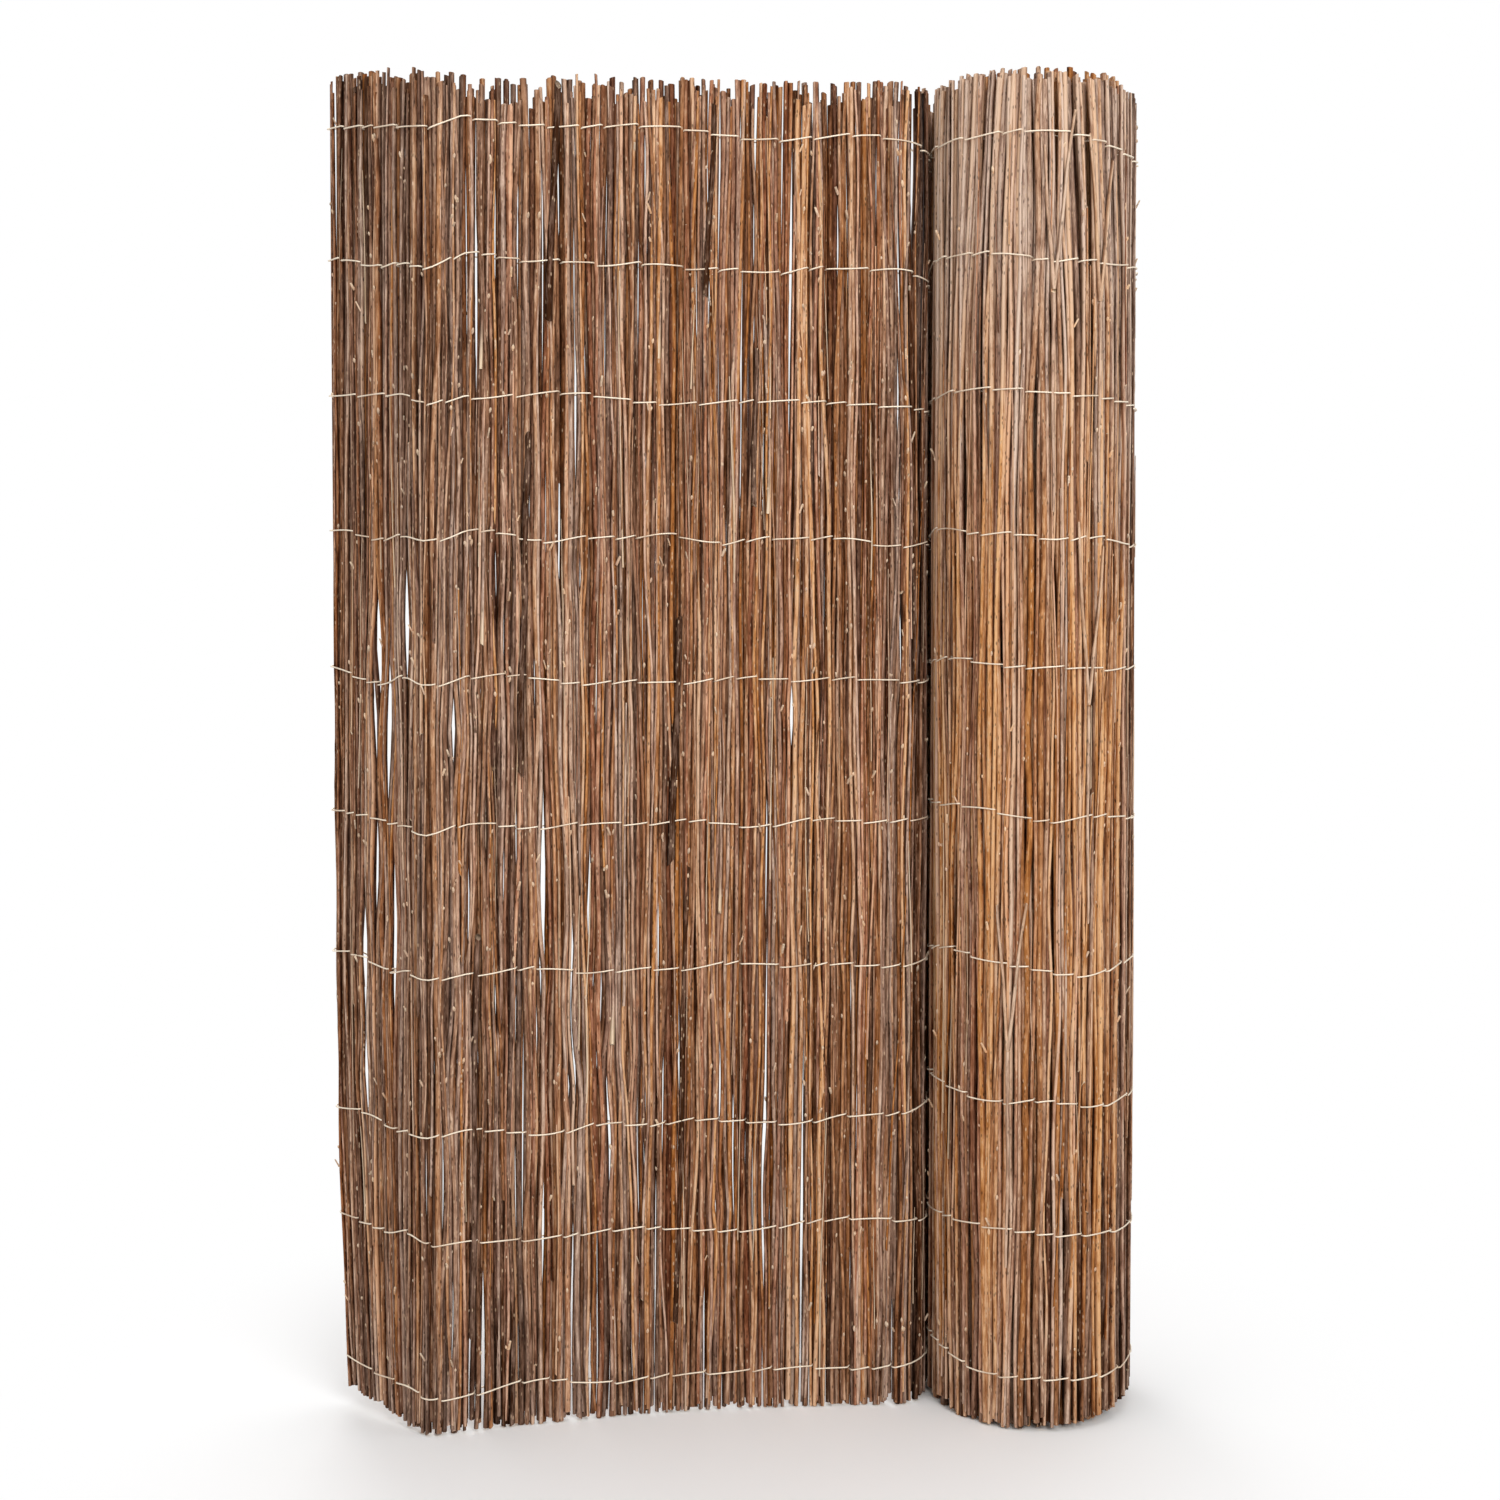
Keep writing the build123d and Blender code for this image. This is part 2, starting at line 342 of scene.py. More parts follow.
def layRods(rng, parts, form):
    # Rods side by side along a stretch of the mat.
    lean = slowWaves(rng, 4, *form["leanLengths"])
    waves = {"lean": lean, "stray": slowWaves(rng, 4, *form["sharedLengths"])}
    laid = []
    s = form["from"]
    while True:
        thick = form["thickness"] * np.exp(rng.normal(0, form["spread"]))
        if rng.random() < form["stout"]:
            thick *= rng.uniform(*form["stoutScale"])
        thick = min(thick, form["most"])
        s += thick / 2
        if s + thick / 2 > form["to"]:
            return laid
        lift = float(wingLift(s))
        foot = lift + form["feet"] * rng.random() ** ends["feetEven"] + form["footRise"](s)
        short = form["tips"] * max(0.0, rng.uniform(ends["tipsLevel"], 1)) ** ends["tipsEven"]
        tip = lift + mat["rodLength"] - short - tipDrop(s)
        depth = form["depth"] + rng.normal(0, form["depthSpread"]) + form["stagger"] * (-1) ** len(laid)
        depth = np.clip(depth, thick / 2 - mat["halfThickness"], mat["halfThickness"] - thick / 2)
        rod = willowRod(rng, s, depth, foot, tip, thick, thick * rng.uniform(*form["taper"]), form, waves)
        tint = rodTint(rng, s)
        # Rods lying behind others are painted darker: painted shade
        tint[0] *= form["paintedShadeScale"]
        addRod(parts, rng, rod, tint, form["sides"], form["paintedShade"])
        laid.append((rod, tint))
        s += thick / 2 * form["closeness"] + max(0.0, rng.normal(form["gap"], form["gapSpread"]))


# How the ends of the rods lie, in metres along the mat and in height
ends = {
    "marks": [0.0, 0.10, 0.15, 0.27, 0.32, rollAt], "drops": [-0.004, -0.002, 0.002, 0.002, -0.010, -0.016],
    "firstTurnRise": 0.022, "firstTurnReach": 0.05, "leftRise": 0.013, "leftReach": 0.12,
    "footRise": 0.016, "footAt": 0.55, "footReach": 0.16,
    "wingDraw": 0.026, "wingBelow": 0.50, "wingBend": 1.5,
    "gather": 0.021, "gatherAside": 0.03, "gatherRate": 1.6, "gatherFrom": 1.12, "gatherHeight": 0.35,
    "gatherBend": 1.5, "feetEven": 2.5, "tipsEven": 1.4, "tipsLevel": -0.08,
}


def noRise(s):
    return 0.0


def tipDrop(s):
    # The tips are lower about the fold and higher from the middle of the panel to the roll.
    if s > rollAt:
        near = math.exp(-(((s - rollAt) / ends["firstTurnReach"]) ** 2))
        return -leftRise(s) - ends["firstTurnRise"] * near
    return np.interp(s, ends["marks"], ends["drops"])


def leftRise(s):
    # The roll's outer turn climbs towards its left-hand side.
    return ends["leftRise"] * np.clip((s - rollFront) / ends["leftReach"], 0, 1)


def rollFootRise(s):
    # The feet on the roll's right-hand side have ridden up.
    turned = (s - rollAt) / (innerAt - rollAt)
    return ends["footRise"] * math.exp(-(((turned - ends["footAt"]) / ends["footReach"]) ** 2))


def noGather(s, z):
    return 0.0


def wingGather(s, z):
    # The feet at the free edge are drawn in towards the fold.
    low = np.clip(1 - np.asarray(z) / ends["wingBelow"], 0, 1)
    return ends["wingDraw"] * low ** ends["wingBend"] * max(0.0, 1 - s / foldAt)


def rollGather(s, z):
    # The tips on the roll's front lean towards each other.
    away = (s - rollFront - ends["gatherAside"]) / mat["rollRadius"]
    high = np.clip((z - ends["gatherFrom"]) / ends["gatherHeight"], 0, 2)
    pull = math.sin(ends["gatherRate"] * away) * math.exp(-(away**2))
    return -ends["gather"] * pull * high ** ends["gatherBend"]


wallForm = {
    "from": 0.0, "to": rollAt, "thickness": 0.0047, "spread": 0.23, "most": 0.0074, "stout": 0.06,
    "depth": -0.0024, "depthSpread": 0.0008, "stagger": 0.0, "feet": 0.014, "footRise": noRise, "tips": 0.032,
    "taper": (0.66, 0.98), "upsideDown": 0.3, "closeness": 0.88, "gap": 0.0002, "gapSpread": 0.0006,
    "rings": 54, "sides": 8, "knots": 5, "paintedShadeScale": 1.0, "paintedShade": (1.0, 0.3), "gather": wingGather,
    "lean": 0.004, "leanWave": 0.010, "ownLean": 0.0045, "stray": 0.0022, "shared": 0.0030,
    "depthStray": 0.0007, "kink": 0.006, "strayLengths": (0.16, 0.8), "leanLengths": (0.10, 0.45),
    "sharedLengths": (0.25, 1.1), "acrossRate": 6, "stoutScale": (1.25, 1.5), "seed": 101,
}
# The back, under and inner layers carry painted shade: a lower tone scale and darker faces
wallBackForm = dict(
    wallForm, thickness=0.0062, spread=0.14, depth=0.0016, depthSpread=0.0004, stagger=0.0010, closeness=0.40,
    gap=0.0, gapSpread=0.0002, taper=(0.84, 1.0), rings=40, knots=3, paintedShadeScale=0.92, paintedShade=(0.55, 1.0),
    stray=0.0012, leanWave=0.006, ownLean=0.0012, kink=0.002, seed=102,
)
rollForm = dict(
    wallForm, **{"from": rollAt, "to": innerAt}, thickness=0.0054, spread=0.20, stout=0.08, most=0.0080,
    depth=0.0018, gap=0.0001, paintedShade=(0.3, 1.0), footRise=rollFootRise, gather=rollGather, lean=0.0,
    ownLean=0.006, knots=4, tips=0.014, taper=(0.7, 1.0), seed=103,
)
rollUnderForm = dict(
    rollForm, thickness=0.0070, depth=-0.0030, closeness=0.85, gap=0.0, gapSpread=0.0003, rings=34, sides=7,
    knots=2, paintedShadeScale=0.9, paintedShade=(0.8, 0.8), seed=104,
)
innerForm = dict(
    rollForm, **{"from": innerAt, "to": coreAt}, thickness=0.0082, depth=0.0, rings=16, sides=6, knots=0,
    footRise=noRise, gather=noGather, paintedShadeScale=0.95, paintedShade=(0.8, 0.8), gap=0.0002, gapSpread=0.0003,
    feet=0.010, tips=0.020, seed=105,
)


# Shader helpers
def addNode(tree, kind, inputs=None, **settings):
    node = tree.nodes.new(kind)
    for name, value in settings.items():
        setattr(node, name, value)
    for name, value in (inputs or {}).items():
        setSocket(tree, node.inputs[name], value)
    return node


def setSocket(tree, socket, value):
    if isinstance(value, bpy.types.NodeSocket):
        tree.links.new(value, socket)
    else:
        socket.default_value = value


def rampNode(tree, factor, stops):
    node = addNode(tree, "ShaderNodeValToRGB", {"Fac": factor})
    ramp = node.color_ramp
    while len(ramp.elements) < len(stops):
        ramp.elements.new(0.5)
    for element, (place, colour) in zip(ramp.elements, stops):
        element.position = place
        element.color = colour
    return node.outputs["Color"]


def mixColour(tree, factor, a, b, blend="MIX"):
    node = addNode(tree, "ShaderNodeMix", data_type="RGBA", blend_type=blend)
    for socket, value in ((node.inputs[0], factor), (node.inputs[6], a), (node.inputs[7], b)):
        setSocket(tree, socket, value)
    return node.outputs[2]


def mathNode(tree, operation, a, b=0.0, clamp=False):
    node = addNode(tree, "ShaderNodeMath", operation=operation, use_clamp=clamp)
    setSocket(tree, node.inputs[0], a)
    setSocket(tree, node.inputs[1], b)
    return node.outputs[0]


def rangeNode(tree, value, fromMin, fromMax, toMin=0.0, toMax=1.0):
    node = addNode(tree, "ShaderNodeMapRange", {"Value": value, "From Min": fromMin, "From Max": fromMax,
                                                "To Min": toMin, "To Max": toMax})
    return node.outputs[0]


def linear(r, g, b):
    # A colour as seen on screen, 0 to 255, in the shader's own scale.
    return tuple(v / 255 / 12.92 if v < 10 else ((v / 255 + 0.055) / 1.055) ** 2.4 for v in (r, g, b)) + (1,)


# Bark: streaks along the rod, pale and dark specks, grey weathering, painted shade in the grooves and pale
# bare wood
barkColours = {
    "grey": [(0.0, linear(62, 35, 17)), (0.35, linear(126, 98, 82)), (0.7, linear(178, 148, 130)),
             (1.0, linear(226, 200, 180))],
    "orange": [(0.0, linear(80, 39, 10)), (0.35, linear(156, 95, 46)), (0.7, linear(202, 138, 80)),
               (1.0, linear(236, 186, 136))],
    "red": [(0.0, linear(72, 32, 13)), (0.35, linear(140, 85, 56)), (0.7, linear(188, 130, 97)),
            (1.0, linear(232, 182, 146))],
    "wood": [(0.3, linear(214, 182, 146)), (0.6, linear(250, 230, 202))],
    # The groove colour darkens the painted shade in the grooves
    "paleSpeck": linear(222, 192, 160), "darkSpeck": linear(58, 36, 24), "paintedGrooveShade": (0.40, 0.37, 0.33, 1),
}

# How strong each effect is, and the heights in metres between which it comes in
barkEffects = {
    "slow": 1.3, "streak": 1.5, "patch": 1.6, "mottle": 0.45, "redRods": (0.52, 0.62),
    # Of these, the darkening and greying towards the foot, from 0.6 m down, is painted shade
    "greyTop": (0.90, 1.32), "topPale": 0.2, "foot": (0.16, 0.0), "footGrey": 0.25, "paintedFootShade": (0.60, 0.0),
    "dotScale": (420, 420, 150), "dot": (0.40, 0.18), "paleDots": 0.75, "paleFrom": 0.82,
    "darkDots": 0.7, "darkBelow": 0.22,
    "streakRelief": 0.7, "grainRelief": 0.3, "dotRelief": 0.5, "roughness": (0.42, 0.74),
}
barkFinish = {"bumpStrength": 0.5, "bumpDistance": 0.0006, "specular": 0.03}


def barkGroup():
    effect = barkEffects
    tree = bpy.data.node_groups.new("willowBark", "ShaderNodeTree")
    for name, value in (("Warmth Shift", 0.0), ("Tone Shift", 0.0), ("Streaks", 1.0), ("Grey Top", 0.0),
                        ("Painted Foot Shade", 0.0)):
        socket = tree.interface.new_socket(name, in_out="INPUT", socket_type="NodeSocketFloat")
        socket.default_value = value
    tree.interface.new_socket("Color", in_out="OUTPUT", socket_type="NodeSocketColor")
    for name in ("Roughness", "Height"):
        tree.interface.new_socket(name, in_out="OUTPUT", socket_type="NodeSocketFloat")
    given = tree.nodes.new("NodeGroupInput").outputs
    result = tree.nodes.new("NodeGroupOutput").inputs
    space = addNode(tree, "ShaderNodeAttribute", attribute_name="rodSpace").outputs["Vector"]
    tintNode = addNode(tree, "ShaderNodeAttribute", attribute_name="rodTint")
    tint = addNode(tree, "ShaderNodeSeparateColor", {"Color": tintNode.outputs["Color"]}).outputs
    tone, warmth, bare, paintedShade = tint[0], tint[1], tint[2], tintNode.outputs["Alpha"]
    place = addNode(tree, "ShaderNodeTexCoord").outputs["Object"]
    height = addNode(tree, "ShaderNodeSeparateXYZ", {"Vector": place}).outputs["Z"]

    def noise(across, along, detail, rough=0.55, vector=space):
        scale = (across, across, along)
        spot = addNode(tree, "ShaderNodeMapping", {"Vector": vector, "Scale": scale}).outputs[0]
        texture = addNode(tree, "ShaderNodeTexNoise", {"Vector": spot, "Scale": 1.0, "Detail": detail,
                                                       "Roughness": rough})
        return texture.outputs["Fac"]

    def swing(value, amount):
        return mathNode(tree, "MULTIPLY", mathNode(tree, "SUBTRACT", value, 0.5), amount)

    slow = noise(60, 5, 2)  # patches along a rod
    streak = noise(900, 26, 4, 0.65)  # fine bark streaks
    grain = noise(2600, 700, 2)  # pores
    patch = noise(160, 34, 4, 0.7)  # worn and dirty stretches
    mottle = noise(5, 4, 2, vector=place)  # patches shared by neighbours
    perRod = noise(0.37, 0.0, 0)  # one value for each rod
    topGrey = mathNode(tree, "MULTIPLY", rangeNode(tree, height, *effect["greyTop"]), given["Grey Top"])
    foot = rangeNode(tree, height, *effect["foot"])
    # Painted shade: darker and greyer towards the foot
    footShadeMask = mathNode(tree, "MULTIPLY", rangeNode(tree, height, *effect["paintedFootShade"]), given["Painted Foot Shade"])
    warm = mathNode(tree, "ADD", warmth, swing(slow, effect["slow"]))
    warm = mathNode(tree, "ADD", warm, given["Warmth Shift"])
    warm = mathNode(tree, "SUBTRACT", warm, mathNode(tree, "ADD", topGrey, footShadeMask))
    warm = mathNode(tree, "SUBTRACT", warm, mathNode(tree, "MULTIPLY", foot, effect["footGrey"]), clamp=True)
    streaked = mathNode(tree, "MULTIPLY", swing(streak, effect["streak"]), given["Streaks"])
    light = mathNode(tree, "ADD", tone, streaked)
    light = mathNode(tree, "ADD", light, swing(patch, effect["patch"]))
    light = mathNode(tree, "ADD", light, swing(mottle, effect["mottle"]))
    light = mathNode(tree, "ADD", light, given["Tone Shift"])
    light = mathNode(tree, "SUBTRACT", light, footShadeMask)
    light = mathNode(tree, "ADD", light, mathNode(tree, "MULTIPLY", topGrey, effect["topPale"]), clamp=True)
    grey = rampNode(tree, light, barkColours["grey"])
    orange = rampNode(tree, light, barkColours["orange"])
    red = rampNode(tree, light, barkColours["red"])
    colour = mixColour(tree, rangeNode(tree, perRod, *effect["redRods"]), orange, red)
    colour = mixColour(tree, warm, grey, colour)
    spot = addNode(tree, "ShaderNodeMapping", {"Vector": space, "Scale": effect["dotScale"]}).outputs[0]
    specks = addNode(tree, "ShaderNodeTexVoronoi", {"Vector": spot, "Scale": 1.0, "Randomness": 1.0})
    chosen = addNode(tree, "ShaderNodeSeparateColor", {"Color": specks.outputs["Color"]}).outputs[0]
    dot = rangeNode(tree, specks.outputs["Distance"], *effect["dot"])
    paleDot = mathNode(tree, "MULTIPLY", dot, mathNode(tree, "GREATER_THAN", chosen, effect["paleFrom"]))
    darkDot = mathNode(tree, "MULTIPLY", dot, mathNode(tree, "LESS_THAN", chosen, effect["darkBelow"]))
    paleShare = mathNode(tree, "MULTIPLY", paleDot, effect["paleDots"])
    darkShare = mathNode(tree, "MULTIPLY", darkDot, effect["darkDots"])
    colour = mixColour(tree, paleShare, colour, barkColours["paleSpeck"])
    colour = mixColour(tree, darkShare, colour, barkColours["darkSpeck"])
    colour = mixColour(tree, bare, colour, rampNode(tree, streak, barkColours["wood"]))
    # Painted shade in the grooves: the colour times itself and the groove colour, mixed in where the tint's
    # alpha is low
    grooveShadeColour = mixColour(tree, 1.0, colour, colour, "MULTIPLY")  # light in a groove has met the bark twice
    grooveShadeColour = mixColour(tree, 1.0, grooveShadeColour, barkColours["paintedGrooveShade"], "MULTIPLY")
    colour = mixColour(tree, mathNode(tree, "SUBTRACT", 1.0, paintedShade, clamp=True), colour, grooveShadeColour)
    relief = mathNode(tree, "MULTIPLY", streak, effect["streakRelief"])
    relief = mathNode(tree, "ADD", relief, mathNode(tree, "MULTIPLY", grain, effect["grainRelief"]))
    relief = mathNode(tree, "ADD", relief, mathNode(tree, "MULTIPLY", paleDot, effect["dotRelief"]))
    setSocket(tree, result["Color"], colour)
    setSocket(tree, result["Roughness"], rangeNode(tree, streak, 0.0, 1.0, *effect["roughness"]))
    setSocket(tree, result["Height"], relief)
    return tree


bark = barkGroup()


def barkMaterial(name, warmthShift=0.0, toneShift=0.0, streaks=1.0, greyTop=0.0, paintedFootShade=0.0):
    material = bpy.data.materials.new(name)
    material.use_nodes = True
    tree = material.node_tree
    shader = tree.nodes["Principled BSDF"]
    group = addNode(tree, "ShaderNodeGroup", node_tree=bark)
    for socket, value in (("Warmth Shift", warmthShift), ("Tone Shift", toneShift), ("Streaks", streaks),
                          ("Grey Top", greyTop), ("Painted Foot Shade", paintedFootShade)):
        group.inputs[socket].default_value = value
    bump = addNode(tree, "ShaderNodeBump", {"Height": group.outputs["Height"],
                                            "Strength": barkFinish["bumpStrength"],
                                            "Distance": barkFinish["bumpDistance"]})
    setSocket(tree, shader.inputs["Base Color"], group.outputs["Color"])
    setSocket(tree, shader.inputs["Roughness"], group.outputs["Roughness"])
    setSocket(tree, shader.inputs["Normal"], bump.outputs["Normal"])
    shader.inputs["Specular IOR Level"].default_value = barkFinish["specular"]
    return material


# Wire: pale zinc with a fine spangle, stained in places
wireFinish = {
    "spangle": 240.0, "dull": 22.0, "dullFrom": (0.5, 0.72), "dullMost": 0.6, "roughness": (0.38, 0.6),
    "metallic": 0.25, "zinc": linear(232, 212, 186), "bright": linear(252, 240, 220),
    "stain": linear(186, 152, 120),
}


def wireMaterial():
    material = bpy.data.materials.new("galvanisedWire")
    material.use_nodes = True
    tree = material.node_tree
    shader = tree.nodes["Principled BSDF"]
    space = addNode(tree, "ShaderNodeTexCoord").outputs["Object"]
    fine = addNode(tree, "ShaderNodeTexNoise", {"Vector": space, "Scale": wireFinish["spangle"],
                                                "Detail": 3.0})
    broad = addNode(tree, "ShaderNodeTexNoise", {"Vector": space, "Scale": wireFinish["dull"],
                                                 "Detail": 2.0})
    spangle = fine.outputs["Fac"]
    dull = rangeNode(tree, broad.outputs["Fac"], *wireFinish["dullFrom"], 0.0, wireFinish["dullMost"])
    pale = mixColour(tree, spangle, wireFinish["zinc"], wireFinish["bright"])
    setSocket(tree, shader.inputs["Base Color"], mixColour(tree, dull, pale, wireFinish["stain"]))
    setSocket(tree, shader.inputs["Roughness"], rangeNode(tree, spangle, 0.0, 1.0, *wireFinish["roughness"]))
    shader.inputs["Metallic"].default_value = wireFinish["metallic"]
    return material


panelBark = barkMaterial("panelBark")
backBark = barkMaterial("backBark")
rollBark = barkMaterial("rollBark", warmthShift=0.05, toneShift=0.02, greyTop=0.7, paintedFootShade=0.18)
# The under layer's bark is the roll's bark with more painted shade towards the foot
rollUnderShadedBark = barkMaterial("rollUnderShadedBark", warmthShift=0.05, toneShift=0.02, greyTop=0.7, paintedFootShade=0.45)
innerBark = barkMaterial("innerTurnBark", streaks=0.8)
galvanised = wireMaterial()
print("materials")

# Rods of the wall and the roll
layers = {}
for name, form, material, stands in (
    ("wallRodsFront", wallForm, panelBark, ["unrolled_wall"]),
    ("wallRodsBack", wallBackForm, backBark, []),
    ("rollRodsOuter", rollForm, rollBark, ["roll"]),
    ("rollRodsUnder", rollUnderForm, rollUnderShadedBark, []),
    ("rollRodsInner", innerForm, innerBark, []),
):
    parts = newParts()
    layers[name] = layRods(np.random.default_rng(form["seed"]), parts, form)
    piece = makePiece(parts, name, material)
    if stands:
        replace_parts(piece, *stands)
    print(name, len(layers[name]), "rods,", len(piece.data.polygons), "faces")

# Thick grey sticks that lean across the panel: place along the mat, foot and tip
sticks = {
    "places": [(0.262, 0.72, 1.10), (0.295, 1.22, 1.485), (0.437, 0.10, 0.62), (0.430, 0.62, 0.90),
               (0.470, 1.25, 1.47), (0.520, 1.02, 1.20), (0.205, 0.10, 0.55)],
    "thickness": 0.0080, "girth": (0.8, 1.1), "tipShare": 0.85, "depth": -0.0040,
    "tone": 0.16, "toneSpread": 0.06, "warmth": 0.0, "lean": 0.022, "leanSpread": 0.006, "ownLean": 0.002,
    "sides": 9, "paintedShade": (1.0, 0.4), "slant": 1.6, "bareEnds": 0.3, "seed": 61,
}

# Loose rods and thin twigs that lie over the others, many of the twigs peeled
loose = {
    "front": {"count": 70, "s": (0.02, 0.70), "depth": -0.0042},
    "back": {"count": 40, "s": (0.02, 0.70), "depth": 0.0042},
    "roll": {"count": 44, "s": (rollAt + 0.05, innerAt - 0.03), "depth": 0.0044},
    "thickness": (0.0026, 0.0046), "length": (0.25, 0.95), "lean": 0.014, "seed": 63,
}
twigs = {
    "front": {"count": 100, "s": (0.01, 0.72), "depth": -0.0052, "bare": 0.45},
    "back": {"count": 45, "s": (0.01, 0.72), "depth": 0.0052, "bare": 0.35},
    "roll": {"count": 60, "s": (rollAt + 0.05, innerAt - 0.03), "depth": 0.0052, "bare": 0.4},
    "thickness": (0.0010, 0.0024), "length": (0.06, 0.34), "lean": 0.018, "seed": 62,
}
stray = {"rings": 18, "knots": 1, "sides": 7, "tipShare": 0.5, "bare": (0.4, 0.95), "slant": 2.0,
         "footAbove": 0.03, "tipBelow": 0.01, "waveLengths": (5, 9)}

# Forked twigs on the roll's front: place from the middle of the front, height of the fork
forks = {
    "places": [(0.006, 1.25), (-0.047, 1.24), (-0.035, 0.80), (0.050, 0.42)], "leans": (-0.11, 0.07),
    "length": (0.10, 0.20), "stem": 0.24, "thickness": 0.0052, "taper": 0.4, "lumps": 0.1, "lumpRate": 23,
    "bend": 0.0012, "bendRate": 7, "depth": 0.0054, "tint": (0.85, 0.35, 0.15, 1.0), "rings": 14, "sides": 7,
    "slant": 1.0, "seed": 64,
}


def strayForm(**changes):
    return dict(wallForm, rings=stray["rings"], knots=stray["knots"], upsideDown=0.0, **changes)


def addSticks(parts, rng, calm):
    for s, foot, tip in sticks["places"]:
        lean = sticks["lean"] + rng.normal(0, sticks["leanSpread"])
        form = strayForm(lean=lean, ownLean=sticks["ownLean"])
        thick = sticks["thickness"] * rng.uniform(*sticks["girth"])
        rod = willowRod(rng, s, sticks["depth"], foot, tip, thick, thick * sticks["tipShare"], form, calm)
        tone = sticks["tone"] + rng.normal(0, sticks["toneSpread"])
        tint = np.array([tone, sticks["warmth"], 0.0, 1.0])
        addRod(parts, rng, rod, tint, sticks["sides"], sticks["paintedShade"], sticks["slant"], sticks["bareEnds"])


def addForks(parts):
    rng = np.random.default_rng(forks["seed"])
    share = np.linspace(0, 1, forks["rings"])
    lumpy = 1 + forks["lumps"] * np.sin(forks["lumpRate"] * share)
    girth = forks["thickness"] / 2 * (1 - forks["taper"] * share) * lumpy
    for away, fork in forks["places"]:
        for lean in (*forks["leans"], 0.0):
            length = rng.uniform(*forks["length"]) if lean else forks["stem"]
            bend = forks["bend"] * np.sin(forks["bendRate"] * share + rng.uniform(0, 6)) * share
            rod = {"z": fork + (length if lean else -length) * share, "radius": girth,
                   "s": rollFront + away + lean * length * share + bend,
                   "depth": np.full(len(share), forks["depth"])}
            if not lean:  # the stem is listed from the fork down
                rod = {key: values[::-1] for key, values in rod.items()}
            addRod(parts, rng, rod, np.array(forks["tint"]), forks["sides"], slant=forks["slant"])


def addTwigs(parts, kind, calm):
    rng = np.random.default_rng(kind["seed"])
    for side in ("front", "back", "roll"):
        lay = kind[side]
        for _ in range(lay["count"]):
            s = rng.uniform(*lay["s"])
            length = rng.uniform(*kind["length"])
            foot = rng.uniform(stray["footAbove"], mat["rodLength"] - length - stray["tipBelow"])
            thick = rng.uniform(*kind["thickness"])
            thin = thick * stray["tipShare"]
            form = strayForm(lean=rng.normal(0, kind["lean"]), to=innerAt)
            rod = willowRod(rng, s, lay["depth"], foot, foot + length, thick, thin, form, calm)
            tint = rodTint(rng, s)
            if rng.random() < lay.get("bare", 0):
                tint[2] = rng.uniform(*stray["bare"])
            addRod(parts, rng, rod, tint, stray["sides"], slant=stray["slant"])


def addStraySticks():
    parts = newParts()
    rng = np.random.default_rng(sticks["seed"])
    lean = slowWaves(rng, 2, *stray["waveLengths"])
    calm = {"lean": lean, "stray": slowWaves(rng, 2, *stray["waveLengths"])}
    addSticks(parts, rng, calm)
    addForks(parts)
    addTwigs(parts, loose, calm)
    addTwigs(parts, twigs, calm)
    return makePiece(parts, "strayTwigs", panelBark)


print("stray twigs", len(addStraySticks().data.polygons), "faces")

# Buds and side-twig stubs on the rods that are seen
buds = {
    "wallRodsFront": {"count": 760, "way": -1}, "wallRodsBack": {"count": 260, "way": 1},
    "rollRodsOuter": {"count": 300, "way": 1}, "size": (0.0008, 0.0018), "around": 1.1, "sunk": 0.9,
    "stubs": 0.2, "stubLength": (0.004, 0.011), "stubTaper": 0.25, "stubLean": 0.55,
    "budLength": (2.6, 4.4), "budLean": 0.3, "sides": 6, "bareEnds": 0.8, "seed": 71,
}


def addBud(parts, rng, rod, tint, way):
    k = rng.integers(3, len(rod["z"]) - 3)
    z, radius = rod["z"][k], rod["radius"][k]
    aside = rng.uniform(-buds["around"], buds["around"])
    out = way * radius * math.cos(aside) * buds["sunk"]
    x, y, turn = onMat(rod["s"][k] + radius * math.sin(aside), rod["depth"][k] + out)
    outX = math.cos(turn) * math.sin(aside) - way * math.sin(turn) * math.cos(aside)
    outY = math.sin(turn) * math.sin(aside) + way * math.cos(turn) * math.cos(aside)
    size = rng.uniform(*buds["size"])
    if rng.random() < buds["stubs"]:
        length = rng.uniform(*buds["stubLength"])
        share = np.linspace(0, 1, 4)
        girth = size * (1.0 - buds["stubTaper"] * share)
        spread = buds["stubLean"]
    else:
        length = size * rng.uniform(*buds["budLength"])
        share = np.linspace(0, 1, 6)
        girth = size * np.sin(np.pi * (0.08 + 0.86 * share)) ** 0.8  # blunt at the foot, pointed at the tip
        spread = buds["budLean"]
    line = np.column_stack([x + outX * spread * length * share, y + outY * spread * length * share,
                            z + length * share])
    points = ringsAlong(line, girth, buds["sides"])
    space = points + rng.uniform(-9, 9, 3)
    tints = np.empty(points.shape[:2] + (4,))
    tints[...] = tint
    tints[..., 2] = (0.25 + 0.65 * share[:, None]) * rng.uniform(0.6, 1)
    tints[..., 3] = 1.0
    addTube(parts, points, space, tints, buds["bareEnds"])


def addBuds():
    parts = newParts()
    rng = np.random.default_rng(buds["seed"])
    for name in ("wallRodsFront", "wallRodsBack", "rollRodsOuter"):
        budded = rng.random(len(layers[name])) ** 2  # some rods carry most of the buds
        chosen = rng.choice(len(layers[name]), buds[name]["count"], p=budded / budded.sum())
        for k in chosen:
            addBud(parts, rng, *layers[name][k], buds[name]["way"])
    return makePiece(parts, "budsAndStubs", panelBark)


print("buds", len(addBuds().data.polygons), "faces")

